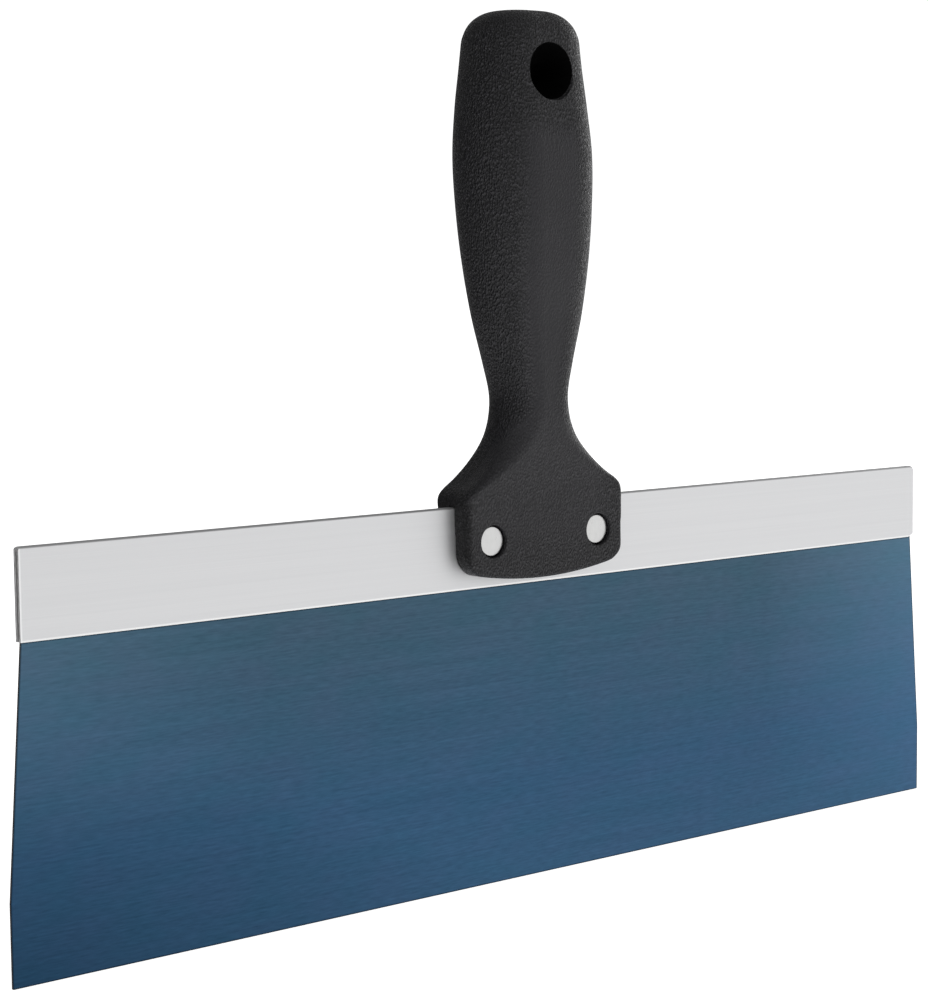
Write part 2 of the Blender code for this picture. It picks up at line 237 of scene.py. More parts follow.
# Heights of the surface grain.
BLUED_GRAIN_DEPTH = 0.012 * MM
SHEET_GRAIN_DEPTH = 0.01 * MM
CUT_MARK_DEPTH = 0.03 * MM
PEBBLE_DEPTH = 0.40 * MM
BORE_DRAG_DEPTH = 0.02 * MM
SCUFF_DEPTH = 0.006 * MM

# Faces count as the blade's flats, the spine's ends and the hang hole's wall by their normals.
FACE_ON = 0.95
END_ON = 0.6
BORE_WALL = 0.1

# Creases sharper than these angles stay hard.
TURNED_SMOOTH_ANGLE = 35.0
BLADE_SMOOTH_ANGLE = 35.0
SPINE_SMOOTH_ANGLE = 40.0
HANDLE_SMOOTH_ANGLE = 38.0

# The handle, its holes and the rivets share this small lean about the point between the rivets.
HANDLE_GROUP = (Matrix.Translation((0.0, 0.0, RIVET_HEIGHT))
                @ Matrix.Rotation(-HANDLE_TILT, 4, "Y"))


# ---------------------------------------------------------------- materials

class Nodes:
    """A short way to build one material's node tree."""

    def __init__(self, name, roughness, metallic):
        self.material = bpy.data.materials.new(name)
        self.material.use_nodes = True
        self.tree = self.material.node_tree
        self.shader = self.tree.nodes["Principled BSDF"]
        self.shader.inputs["Roughness"].default_value = roughness
        self.shader.inputs["Metallic"].default_value = metallic
        self.place = self.tree.nodes.new("ShaderNodeTexCoord").outputs["Object"]

    def add(self, kind, **settings):
        """A new node with its settings."""
        node = self.tree.nodes.new(kind)
        for key, value in settings.items():
            setattr(node, key, value)
        return node

    def link(self, source, target):
        self.tree.links.new(source, target)

    def feed(self, value, socket):
        """Link a socket, or set a number."""
        if isinstance(value, bpy.types.NodeSocket):
            self.link(value, socket)
        else:
            socket.default_value = value

    def stretched(self, scale):
        """Object coordinates scaled on each axis, in cells per metre."""
        mapping = self.add("ShaderNodeMapping")
        mapping.inputs["Scale"].default_value = scale
        self.link(self.place, mapping.inputs["Vector"])
        return mapping.outputs["Vector"]

    def noise(self, vector, detail=3.0, roughness=0.5):
        """Cloudy noise, whose detail and roughness add finer and stronger clouds."""
        node = self.add("ShaderNodeTexNoise")
        node.inputs["Scale"].default_value = 1.0
        node.inputs["Detail"].default_value = detail
        node.inputs["Roughness"].default_value = roughness
        self.link(vector, node.inputs["Vector"])
        return node.outputs["Fac"]

    def cells(self, vector, smoothness):
        """Distance from the middle of the nearest cell, with softened borders."""
        node = self.add("ShaderNodeTexVoronoi", feature="SMOOTH_F1")
        node.inputs["Scale"].default_value = 1.0
        node.inputs["Smoothness"].default_value = smoothness
        self.link(vector, node.inputs["Vector"])
        return node.outputs["Distance"]

    def spread(self, value, low, high, to_low=0.0, to_high=1.0):
        """Map low..high to to_low..to_high, clamped at both ends."""
        node = self.add("ShaderNodeMapRange")
        node.inputs["From Min"].default_value = low
        node.inputs["From Max"].default_value = high
        node.inputs["To Min"].default_value = to_low
        node.inputs["To Max"].default_value = to_high
        self.link(value, node.inputs["Value"])
        return node.outputs["Result"]

    def math(self, operation, first, second=0.0):
        """One sum on sockets or numbers."""
        node = self.add("ShaderNodeMath", operation=operation)
        self.feed(first, node.inputs[0])
        self.feed(second, node.inputs[1])
        return node.outputs[0]

    def blend(self, share, first, second, mode="MIX"):
        """Mix two colours by a share from 0 to 1."""
        node = self.add("ShaderNodeMix", data_type="RGBA", blend_type=mode)
        self.feed(share, node.inputs[0])
        for value, socket in ((first, node.inputs[6]), (second, node.inputs[7])):
            self.feed((*value, 1.0) if isinstance(value, tuple) else value, socket)
        return node.outputs[2]

    def scaled(self, colour, factor):
        """A colour times a number."""
        node = self.add("ShaderNodeVectorMath", operation="SCALE")
        self.link(colour, node.inputs[0])
        self.link(factor, node.inputs["Scale"])
        return node.outputs[0]

    def axis(self, name):
        """One coordinate of the place on the piece, in metres."""
        node = self.add("ShaderNodeSeparateXYZ")
        self.link(self.place, node.inputs["Vector"])
        return node.outputs[name]

    def bump(self, height, depth, strength):
        """Raise the surface by height times depth."""
        node = self.add("ShaderNodeBump")
        node.inputs["Strength"].default_value = strength
        node.inputs["Distance"].default_value = depth
        self.link(height, node.inputs["Height"])
        self.link(node.outputs["Normal"], self.shader.inputs["Normal"])

    def brushed(self, amount):
        """Stretch highlights across a grain that runs along X."""
        self.shader.inputs["Anisotropic"].default_value = amount
        around = self.add("ShaderNodeTangent", direction_type="RADIAL", axis="X")
        self.link(around.outputs["Tangent"], self.shader.inputs["Tangent"])

    def colour(self, value):
        self.link(value, self.shader.inputs["Base Color"])

    def roughness(self, value):
        self.link(value, self.shader.inputs["Roughness"])


def dark_edges_and_lip_shade(n):
    """1 over the blade's faces, falling along its cut edges and, as painted shade, just under the
    spine's lip.
    """
    half_width = n.spread(n.axis("Z"), BLADE_PARALLEL, SPINE_BOTTOM,
                          BLADE_HALF_WIDTH, BLADE_HALF_WIDTH - BLADE_TAPER)
    from_side = n.math("SUBTRACT", half_width, n.math("ABSOLUTE", n.axis("X")))
    from_edge = n.math("MINIMUM", from_side, n.axis("Z"))
    # Painted shade in a thin band just under the spine's lip.
    from_lip = n.math("ABSOLUTE", n.math("SUBTRACT", n.axis("Z"), SPINE_BOTTOM))
    edge = n.spread(from_edge, *EDGE_BAND, EDGE_SHADE, 1.0)
    lip = n.spread(from_lip, *LIP_BAND, LIP_SHADE, 1.0)
    return n.math("MINIMUM", edge, lip)


def blued_steel():
    """Blade faces: brushed blue oxide, with painted reflection making it greyer towards the spine,
    painted light making its ends paler, and painted shade making it deepest low on the left.
    """
    n = Nodes("blued_steel_brushed", 0.36, 1.0)
    clouds = n.math("SUBTRACT", n.noise(n.stretched(BLUED_CLOUDS)), 0.5)
    patches = n.math("MULTIPLY", clouds, 0.3)
    height = n.math("ADD", n.spread(n.axis("Z"), 0.0, BLADE_HIGH.z), patches)
    # Painted shade and reflection: deepest blue low on the left, greyer towards the spine.
    corner = n.math("ADD", n.math("MULTIPLY", height, 1.4), n.spread(n.axis("X"), *SHADED_DEEP_BLUE_BAND))
    low = n.blend(corner, SHADED_DEEP_BLUE, PLAIN_BLUE)
    mid = n.blend(n.spread(height, 0.25, 1.0), low, REFLECTED_GREY_BLUE)
    tint = n.noise(n.stretched(BLUED_TINTS), detail=2.0)
    cast = n.blend(n.spread(tint, 0.35, 0.65), TEAL_CAST, WARM_CAST)
    mid = n.blend(1.0, mid, cast, "MULTIPLY")
    # Painted light: paler towards both ends, more so higher up.
    right_end = n.spread(n.axis("X"), *LIT_PALE_END_BAND, 0.0, 1.2)
    left_end = n.spread(n.math("MULTIPLY", n.axis("X"), -1.0), *LIT_PALE_END_BAND, 0.0, 0.6)
    ends = n.math("ADD", right_end, left_end)
    painted_end_light = n.math("MULTIPLY", ends, n.spread(height, 0.0, 1.0, 0.15, 0.65))
    fine = n.noise(n.stretched(BLUED_FINE_GRAIN), detail=2.0, roughness=0.6)
    long = n.noise(n.stretched(BLUED_LONG_GRAIN), detail=3.0, roughness=0.55)
    streak = n.math("ADD", n.math("MULTIPLY", fine, 0.6), n.math("MULTIPLY", long, 0.4))
    light = n.math("ADD", n.spread(streak, *CLOUD_RANGE, *STREAK_LIGHT), painted_end_light)
    n.colour(n.scaled(n.scaled(mid, light), dark_edges_and_lip_shade(n)))
    n.roughness(n.spread(streak, *CLOUD_RANGE, *BLUED_ROUGHNESS))
    n.brushed(BLUED_BRUSHING)
    n.bump(streak, BLUED_GRAIN_DEPTH, 0.35)
    return n.material


def sheared_steel():
    """The blade's cut edges: dark oxide with fine cross marks."""
    n = Nodes("blade_cut_edge", 0.5, 0.9)
    marks = n.noise(n.stretched(OXIDE_MARKS), detail=2.0)
    n.colour(n.blend(marks, DARK_OXIDE, BARE_OXIDE))
    n.roughness(n.spread(marks, *CLOUD_RANGE, *OXIDE_ROUGHNESS))
    return n.material


def brushed_aluminium():
    """Spine faces: light grey sheet with a fine grain along its length, a painted highlight along
    its lower edge and left end, and painted shade over its fold.
    """
    n = Nodes("aluminium_brushed", 0.5, 0.9)
    fine = n.noise(n.stretched(SHEET_FINE_GRAIN), detail=4.0, roughness=0.6)
    long = n.noise(n.stretched(SHEET_LONG_GRAIN), detail=3.0)
    streak = n.math("ADD", n.math("MULTIPLY", fine, 0.6), n.math("MULTIPLY", long, 0.4))
    sheet = n.blend(n.spread(streak, *CLOUD_RANGE), SHEET_GREY, SHEET_PALE)
    # Painted highlight: towards white along the lower edge and left end, where the sheet is also
    # smoother.
    above = n.math("SUBTRACT", n.axis("Z"), SPINE_BOTTOM)
    inward = n.math("ADD", n.axis("X"), SPINE_HALF_LENGTH)
    edge_highlight_and_polish = n.spread(n.math("MINIMUM", above, inward), *EDGE_HIGHLIGHT_BAND, 1.0, 0.0)
    # Painted shade over the fold along the top.
    below = n.math("SUBTRACT", SPINE_TOP, n.axis("Z"))
    painted_fold_shade = n.spread(below, *FOLD_BAND, FOLD_SHADE, 1.0)
    n.colour(n.scaled(n.blend(edge_highlight_and_polish, sheet, WHITE), painted_fold_shade))
    plain = n.spread(streak, *CLOUD_RANGE, *SHEET_ROUGHNESS)
    n.roughness(n.math("SUBTRACT", plain, n.math("MULTIPLY", edge_highlight_and_polish, 0.12)))
    n.brushed(SHEET_BRUSHING)
    n.bump(streak, SHEET_GRAIN_DEPTH, 0.3)
    return n.material


def sheared_aluminium():
    """The spine's cut ends: duller, with marks across the sheet."""
    n = Nodes("aluminium_cut_edge", 0.5, 1.0)
    marks = n.noise(n.stretched(CUT_MARKS), detail=3.0)
    n.colour(n.blend(n.spread(marks, *CLOUD_RANGE), CUT_GREY, CUT_PALE))
    n.roughness(n.spread(marks, *CLOUD_RANGE, *CUT_ROUGHNESS))
    n.bump(marks, CUT_MARK_DEPTH, 0.5)
    return n.material


def smooth_front(n):
    """1 on the smoother strip down the front of the grip, which widens into the tang."""
    reach = n.math("ADD", n.spread(n.axis("Z"), *STRIP_GRIP_RISE, *STRIP_GRIP_HALF_WIDTH),
                   n.spread(n.axis("Z"), *STRIP_TANG_RISE, STRIP_TANG_WIDER, 0.0))
    off_centre = n.math("ABSOLUTE", n.math("ADD", n.axis("X"), STRIP_OFFSET))
    band = n.spread(n.math("SUBTRACT", reach, off_centre), -STRIP_BORDER, STRIP_BORDER)
    front = n.math("MULTIPLY", n.spread(n.axis("Z"), *STRIP_TOP, 1.0, 0.0),
                   n.math("LESS_THAN", n.axis("Y"), 0.0))
    polish = n.spread(n.axis("Z"), *STRIP_POLISH_RISE, 0.45, 0.75)
    return n.math("MULTIPLY", n.math("MULTIPLY", band, front), polish)


def moulded_plastic():
    """The handle: pebbled black moulding, coarser at its top and foot, its pebble tops painted
    lighter as glints and its pits darker as shade, and its left side painted darker as shade and
    duller.
    """
    n = Nodes("black_plastic_pebbled", 0.45, 0.0)
    coarse = n.math("ADD", n.spread(n.axis("Z"), *COARSE_TOP, 0.0, 0.6),
                    n.spread(n.axis("Z"), *COARSE_FOOT, 0.5, 0.0))
    depth = n.math("SUBTRACT", n.math("ADD", coarse, 1.0), smooth_front(n))
    grain = n.stretched(PEBBLE_GRAIN)
    pebble = n.spread(n.cells(grain, 0.3), 0.05, 0.65, 1.0, 0.0)
    grit = n.spread(n.noise(grain, detail=0.0), 0.25, 0.75)
    patch = n.noise(n.stretched(WEAR_PATCHES), detail=2.0)
    raised = n.math("ADD", n.math("MULTIPLY", pebble, 0.4), n.math("MULTIPLY", grit, 0.7))
    tops = n.spread(raised, 0.40, 0.95)
    tops = n.math("ADD", n.math("MULTIPLY", n.math("SUBTRACT", tops, 0.5), depth), 0.5)
    # Painted shade and a duller finish on the tang's left side.
    side = n.math("MULTIPLY", n.spread(n.axis("X"), *SHADED_DULL_SIDE),
                  n.spread(n.axis("Z"), *SHADED_DULL_SIDE_TOP, 1.0, 0.0))
    # Painted glints and shade: pebble tops lighter, pits darker.
    black = n.blend(tops, PIT_SHADE_BLACK, PEBBLE_GLINT_BLACK)
    n.colour(n.scaled(black, n.math("SUBTRACT", 1.0, n.math("MULTIPLY", side, 0.6))))
    worn = n.math("MULTIPLY", n.spread(patch, *CLOUD_RANGE), 0.06)
    dull = n.math("ADD", worn, n.math("MULTIPLY", side, 0.25))
    n.roughness(n.math("ADD", dull, n.spread(tops, 0.0, 1.0, *PLASTIC_ROUGHNESS)))
    n.shader.inputs["Specular IOR Level"].default_value = PLASTIC_SPECULAR
    n.bump(n.math("MULTIPLY", raised, depth), PEBBLE_DEPTH, 1.0)
    return n.material


def bore_plastic():
    """Inside the hang hole: black painted darker than the handle as shade, smooth and dull from
    the mould's core pin.
    """
    n = Nodes("black_plastic_bore_shaded", 0.7, 0.0)
    n.shader.inputs["Specular IOR Level"].default_value = BORE_SPECULAR
    drag = n.noise(n.stretched(BORE_DRAG), detail=3.0)
    # Painted shade: the bore's black is darker than the handle's.
    n.colour(n.blend(drag, BORE_SHADE_DARK, BORE_SHADE_BLACK))
    n.roughness(n.spread(drag, *CLOUD_RANGE, *BORE_ROUGHNESS))
    n.bump(drag, BORE_DRAG_DEPTH, 0.3)
    return n.material


def nickel_plate():
    """Rivets: bright plate with tiny scuffs."""
    n = Nodes("nickel_plate_scuffed", 0.3, 1.0)
    scuff = n.noise(n.stretched(NICKEL_SCUFFS), detail=4.0, roughness=0.6)
    n.colour(n.blend(n.spread(scuff, *CLOUD_RANGE), NICKEL_DULL, NICKEL_BRIGHT))
    n.roughness(n.spread(scuff, *CLOUD_RANGE, *NICKEL_ROUGHNESS))
    n.bump(scuff, SCUFF_DEPTH, 0.2)
    return n.material


# ---------------------------------------------------------------- mesh helpers

def build(name, tool, materials=()):
    """Turn a bmesh into an object with outward faces and its materials."""
    bmesh.ops.recalc_face_normals(tool, faces=tool.faces)
    mesh = bpy.data.meshes.new(name)
    tool.to_mesh(mesh)
    tool.free()
    mesh.shade_smooth()
    mesh.set_sharp_from_angle(angle=math.radians(TURNED_SMOOTH_ANGLE))
    for each in materials:
        mesh.materials.append(each)
    thing = bpy.data.objects.new(name, mesh)
    bpy.context.scene.collection.objects.link(thing)
    return thing


def arc(centre_x, centre_z, radius, start, end, steps):
    """Points on an arc, with angles in degrees counted from +X towards +Z."""
    angles = [math.radians(start + (end - start) * i / steps) for i in range(steps + 1)]
    return [(centre_x + radius * math.cos(a), centre_z + radius * math.sin(a)) for a in angles]


def slab(name, outline, front, back):
    """Extrude an XZ outline from y = front to y = back."""
    tool = bmesh.new()
    near = [tool.verts.new((x, front, z)) for x, z in outline]
    far = [tool.verts.new((x, back, z)) for x, z in outline]
    tool.faces.new(near)
    tool.faces.new(far)
    for i in range(len(outline)):
        j = (i + 1) % len(outline)
        tool.faces.new((near[i], near[j], far[j], far[i]))
    return build(name, tool)


def turned(name, profile, materials=()):
    """Spin a (radius, y) profile about the Y axis. Its first and last points have radius 0."""
    tool = bmesh.new()
    rings = []
    for radius, y in profile:
        count = 1 if radius == 0.0 else ROUND_STEPS
        turns = [2.0 * math.pi * i / ROUND_STEPS for i in range(count)]
        ring = [(radius * math.cos(a), y, radius * math.sin(a)) for a in turns]
        rings.append([tool.verts.new(point) for point in ring])
    for lower, upper in zip(rings, rings[1:]):
        for i in range(ROUND_STEPS):
            j = (i + 1) % ROUND_STEPS
            corners = (lower[i % len(lower)], lower[j % len(lower)],
                       upper[j % len(upper)], upper[i % len(upper)])
            tool.faces.new(dict.fromkeys(corners))
    return build(name, tool, materials)


def apply_all(thing):
    """Replace an object's mesh by what its modifiers make of it."""
    shown = thing.evaluated_get(bpy.context.evaluated_depsgraph_get())
    mesh = bpy.data.meshes.new_from_object(shown)
    old = thing.data
    thing.modifiers.clear()
    thing.data = mesh
    bpy.data.meshes.remove(old)


def cut(target, cutter, operation="DIFFERENCE"):
    """Boolean a cutter with the target, then throw the cutter away."""
    boolean = target.modifiers.new("cut", "BOOLEAN")
    boolean.operation = operation
    boolean.solver = "EXACT"
    boolean.object = cutter
    apply_all(target)
    bpy.data.objects.remove(cutter)


def soften(target, width, segments, angle=60.0):
    """Round the target's sharp edges."""
    bevel = target.modifiers.new("edges", "BEVEL")
    bevel.width = width
    bevel.segments = segments
    bevel.limit_method = "ANGLE"
    bevel.angle_limit = math.radians(angle)
    bevel.use_clamp_overlap = True
    apply_all(target)


def sharpen(target, angle):
    """Smooth shading with hard edges above an angle, where large faces stay flat."""
    target.data.shade_smooth()
    target.data.set_sharp_from_angle(angle=math.radians(angle))
    weighted = target.modifiers.new("normals", "WEIGHTED_NORMAL")
    weighted.mode = "FACE_AREA"
    weighted.weight = 100
    weighted.keep_sharp = True
    apply_all(target)


def paint(target, main, second, is_second):
    """Give the target two materials, the second one on the faces that is_second picks."""
    target.data.materials.clear()
    target.data.materials.append(main)
    target.data.materials.append(second)
    for face in target.data.polygons:
        face.material_index = 1 if is_second(face) else 0


def rivet_places():
    """Each rivet's side and its x between the rivets."""
    return (("left", -RIVET_SPACING / 2.0), ("right", RIVET_SPACING / 2.0))


def tilted(thing, x=0.0, z=0.0):
    """Move a piece built round the point between the rivets to its place in the handle group."""
    thing.data.transform(HANDLE_GROUP @ Matrix.Translation((x, 0.0, z)))
    return thing


def through_hole(radius, x):
    """A cylinder along Y for the rivet holes of the sheets."""
    profile = ((0.0, -CUTTER_REACH), (radius, -CUTTER_REACH),
               (radius, CUTTER_REACH), (0.0, CUTTER_REACH))
    return tilted(turned("hole", profile), x)


def finish(piece, node):
    """Let a piece stand for its CAD node."""
    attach(piece, "root")
    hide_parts(node)


# ---------------------------------------------------------------- blade and spine

def blade_half_width(z):
    """Half the blade's width at height z: it tapers from the straight part to the spine."""
    rise = max(0.0, z - BLADE_PARALLEL) / (SPINE_BOTTOM - BLADE_PARALLEL)
    return BLADE_HALF_WIDTH - BLADE_TAPER * min(1.0, rise)


def make_blade():
    """The blade's sheet, drilled for the rivets, with its cut edges darker than its faces."""
    centre = BLADE_HALF_WIDTH - BLADE_CORNER
    outline = arc(-centre, BLADE_CORNER, BLADE_CORNER, 180.0, 270.0, BLADE_CORNER_STEPS)
    outline += arc(centre, BLADE_CORNER, BLADE_CORNER, 270.0, 360.0, BLADE_CORNER_STEPS)
    levels = (BLADE_PARALLEL, SPINE_BOTTOM, BLADE_HIGH.z)
    outline += [(blade_half_width(z), z) for z in levels]
    outline += [(-blade_half_width(z), z) for z in reversed(levels)]
    blade = slab("blade_sheet", outline, -BLADE_HALF_DEPTH, BLADE_HALF_DEPTH)
    for _, x in rivet_places():
        cut(blade, through_hole(SHEET_HOLE_RADIUS, x))
    soften(blade, BLADE_EDGE_ROUND, 2)
    paint(blade, blued_steel(), sheared_steel(), lambda face: abs(face.normal.y) <= FACE_ON)
    sharpen(blade, BLADE_SMOOTH_ANGLE)
    finish(blade, "blade")


def fold_arc(half_depth, top, rise, steps):
    """Half an ellipse from -Y to +Y over the fold, as (y, z) points."""
    turns = [math.pi * i / steps for i in range(steps + 1)]
    return [(-half_depth * math.cos(a), top - rise + rise * math.sin(a)) for a in turns]


def make_spine():
    """The folded sheet, trimmed to its outline and drilled for the rivets."""
    outer = SPINE_HALF_DEPTH
    inner = outer - SPINE_SHEET
    section = [(-outer, SPINE_BOTTOM)]
    section += fold_arc(outer, SPINE_TOP, SPINE_FOLD, FOLD_STEPS[0])
    section += [(outer, SPINE_BOTTOM), (inner, SPINE_BOTTOM)]
    section += reversed(fold_arc(inner, SPINE_TOP - SPINE_SHEET, inner, FOLD_STEPS[1]))
    section += [(-inner, SPINE_BOTTOM)]
    tool = bmesh.new()
    ends = []
    for x in (-SPINE_HALF_LENGTH - SPINE_SPARE, SPINE_HALF_LENGTH + SPINE_SPARE):
        ends.append([tool.verts.new((x, y, z)) for y, z in section])
        tool.faces.new(ends[-1])
    for i in range(len(section)):
        j = (i + 1) % len(section)
        tool.faces.new((ends[0][i], ends[0][j], ends[1][j], ends[1][i]))
    spine = build("spine_fold", tool)

    half = SPINE_HALF_LENGTH
    left, right = SPINE_CORNERS
    clip_width, clip_height = SPINE_CLIP
    below = SPINE_BOTTOM - TRIM_REACH
    trim = [(-half, below), (half - clip_width, below), (half - clip_width, SPINE_BOTTOM)]
    trim += [(half, SPINE_BOTTOM + clip_height)]
    trim += arc(half - right, SPINE_TOP - right, right, 0.0, 90.0, SHEET_CORNER_STEPS)
    trim += arc(left - half, SPINE_TOP - left, left, 90.0, 180.0, SHEET_CORNER_STEPS)
    cut(spine, slab("trim", trim, -CUTTER_REACH, CUTTER_REACH), "INTERSECT")
    for _, x in rivet_places():
        cut(spine, through_hole(SHEET_HOLE_RADIUS, x))
    soften(spine, SPINE_EDGE_ROUND, 3, angle=50.0)
    paint(spine, brushed_aluminium(), sheared_aluminium(),
          lambda face: abs(face.normal.x) > END_ON)
    sharpen(spine, SPINE_SMOOTH_ANGLE)
    finish(spine, "spine_channel")


# ---------------------------------------------------------------- handle

def station_slope(i, column):
    """How fast a size changes with height at one of the handle's stations."""
    before = HANDLE_STATIONS[max(0, i - 1)]
    after = HANDLE_STATIONS[min(len(HANDLE_STATIONS) - 1, i + 1)]
    return (after[column] - before[column]) / (after[0] - before[0])


def handle_size(z):
    """Half width, half depth and setback at height z, on a smooth curve through the stations."""
    height = min(max(z / MM, HANDLE_STATIONS[0][0]), HANDLE_STATIONS[-1][0])
    i = 0
    while i < len(HANDLE_STATIONS) - 2 and HANDLE_STATIONS[i + 1][0] < height:
        i += 1
    low, high = HANDLE_STATIONS[i], HANDLE_STATIONS[i + 1]
    span = high[0] - low[0]
    s = (height - low[0]) / span
    sizes = []
    for column in (1, 2, 3):
        value = (2.0 * s**3 - 3.0 * s**2 + 1.0) * low[column]
        value += (s**3 - 2.0 * s**2 + s) * span * station_slope(i, column)
        value += (3.0 * s**2 - 2.0 * s**3) * high[column]
        value += (s**3 - s**2) * span * station_slope(i + 1, column)
        sizes.append(value * MM)
    return sizes


def section_points(half_width, half_depth, corner_x, corner_y, shrink):
    """A rectangle with elliptical corners and a moulding seam on each side."""
    quarter = [(half_width + proud * shrink * MM, off * shrink * MM) for proud, off in SEAM]
    for i in range(CORNER_STEPS + 1):
        angle = 0.5 * math.pi * i / CORNER_STEPS
        quarter.append((half_width - corner_x + corner_x * math.cos(angle),
                        half_depth - corner_y + corner_y * math.sin(angle)))
    flat = half_width - corner_x
    middle = [(flat * math.cos(math.pi * i / FLAT_STEPS), half_depth)
              for i in range(1, FLAT_STEPS)]
    back = quarter + middle + [(-x, y) for x, y in reversed(quarter)]
    return back + [(-x, -y) for x, y in back]


def handle_ring(z, scale=1.0, inset=0.0):
    """The handle's outline at height z, as (x, y) pairs, drawn in by inset at front and back."""
    half_width, half_depth, setback = handle_size(z)
    share = min(max((z - BLEND_START) / (BLEND_END - BLEND_START), 0.0), 1.0)
    share = share * share * (3.0 - 2.0 * share)
    corner_x = TANG_CORNER + share * (GRIP_CORNER_SHARE[0] * half_width - TANG_CORNER)
    corner_y = TANG_CORNER + share * (GRIP_CORNER_SHARE[1] * half_depth - TANG_CORNER)
    up_dome = max(0.0, (z - HANDLE_TOP + DOME_HEIGHT) / DOME_HEIGHT)
    shrink = scale * (1.0 - DOME_INSET * (1.0 - math.sqrt(max(0.0, 1.0 - up_dome**2))))
    wide, deep, wide_corner, deep_corner = (
        shrink * size for size in (half_width, half_depth, corner_x, corner_y))
    points = section_points(wide, deep - inset, wide_corner, deep_corner - inset, shrink)
    return [(x, y + setback) for x, y in points]


def lip_height(x):
    """Height of the handle's lower edge: a shallow arc that turns up at both corners."""
    half_width = handle_size(0.0)[0]
    straight = half_width - LIP_CORNER
    reach = min(abs(x), half_width)
    height = SPINE_BOTTOM + LIP_FOOT + reach**2 / (2.0 * LIP_ARC_RADIUS)
    over = max(0.0, reach - straight)
    return height + LIP_CORNER - math.sqrt(max(0.0, LIP_CORNER**2 - over**2))


def handle_loft():
    """The whole handle before it is slotted and drilled, as a bmesh."""
    tool = bmesh.new()
    foot = handle_ring(0.0)
    lip = [lip_height(x) for x, _ in foot]
    rings = []
    for step in range(LIP_STEPS + 1):
        turn = 0.5 * math.pi * step / LIP_STEPS
        ring = handle_ring(0.0, inset=LIP_EDGE_ROUND * (1.0 - math.sin(turn)))
        rise = LIP_EDGE_ROUND * (1.0 - math.cos(turn))
        rings.append([tool.verts.new((x, y, z + rise)) for (x, y), z in zip(ring, lip)])
    above_lip = [z + LIP_EDGE_ROUND for z in lip]
    for i in range(1, FOOT_STEPS):
        share = i / FOOT_STEPS
        levels = [z + share * (FOOT_TOP - z) for z in above_lip]
        rings.append([tool.verts.new((x, y, z)) for (x, y), z in zip(foot, levels)])
    dome_start = HANDLE_TOP - DOME_HEIGHT
    count = math.ceil((dome_start - FOOT_TOP) / RING_STEP)
    heights = [FOOT_TOP + (dome_start - FOOT_TOP) * i / count for i in range(count)]
    heights += [dome_start + DOME_HEIGHT * math.sin(0.5 * math.pi * i / DOME_STEPS)
                for i in range(DOME_STEPS + 1)]
    for z in heights:
        rings.append([tool.verts.new((x, y, z)) for x, y in handle_ring(z)])
    for i in range(1, CAP_STEPS):
        ring = handle_ring(HANDLE_TOP, scale=1.0 - i / CAP_STEPS)
        rings.append([tool.verts.new((x, y, HANDLE_TOP)) for x, y in ring])
    total = len(foot)
    for lower, upper in zip(rings, rings[1:]):
        for i in range(total):
            j = (i + 1) % total
            tool.faces.new((lower[i], lower[j], upper[j], upper[i]))
    tool.faces.new(rings[-1])
    bottom = rings[0]
    for i in range(total // 2 - 1):
        corners = (bottom[i], bottom[i + 1], bottom[total - 2 - i], bottom[total - 1 - i])
        tool.faces.new(corners)
    return tool


def rounded_bore(radius, mouth, edge):
    """Profile of a hole along Y whose mouths, at y = -mouth and +mouth, have rounded edges."""
    turn = [0.5 * math.pi * i / EDGE_STEPS for i in range(EDGE_STEPS + 1)]
    back = [(radius + edge - edge * math.cos(a), mouth - edge + edge * math.sin(a))
            for a in turn]
    back += [(radius + edge, CUTTER_REACH), (0.0, CUTTER_REACH)]
    return [(r, -y) for r, y in reversed(back)] + back


def make_handle():
    """The moulding, slotted for the spine and drilled for the hang hole and the rivets."""
    handle = build("handle_moulding", handle_loft())
    tilted(handle, z=-RIVET_HEIGHT)

    slot_half = SPINE_HALF_DEPTH + SLOT_GAP
    slot_top = SPINE_TOP + SLOT_GAP
    reach = HANDLE_HIGH.x + CUTTER_REACH
    slot = [(-reach, 0.0), (reach, 0.0), (reach, slot_top), (-reach, slot_top)]
    cut(handle, slab("slot", slot, -slot_half, slot_half))

    _, depth, setback = handle_size(HANG_HOLE_HEIGHT)
    mouth = depth - HANG_HOLE_DISH
    hang = turned("hang", rounded_bore(HANG_HOLE_RADIUS, mouth, HANG_HOLE_ROUND))
    hang.data.transform(Matrix.Translation((0.0, setback, 0.0)))
    cut(handle, tilted(hang, z=HANG_HOLE_HEIGHT - RIVET_HEIGHT))

    for _, x in rivet_places():
        rim = rounded_bore(RECESS_RADIUS, TANG_HALF_DEPTH, RECESS_ROUND)
        half = len(rim) // 2
        bore = [(HANDLE_HOLE_RADIUS, -RECESS_FLOOR), (HANDLE_HOLE_RADIUS, RECESS_FLOOR)]
        floor = [(RECESS_RADIUS, -RECESS_FLOOR)] + bore + [(RECESS_RADIUS, RECESS_FLOOR)]
        cut(handle, tilted(turned("recess", rim[:half] + floor + rim[half:]), x))
    centre = HANDLE_GROUP @ Vector((0.0, 0.0, HANG_HOLE_HEIGHT - RIVET_HEIGHT))

    def in_bore(face):
        off = face.center - centre
        inside = math.hypot(off.x, off.z) < HANG_HOLE_RADIUS
        return inside and abs(face.normal.y) < BORE_WALL

    paint(handle, moulded_plastic(), bore_plastic(), in_bore)
    sharpen(handle, HANDLE_SMOOTH_ANGLE)
    finish(handle, "handle")


# ---------------------------------------------------------------- rivets

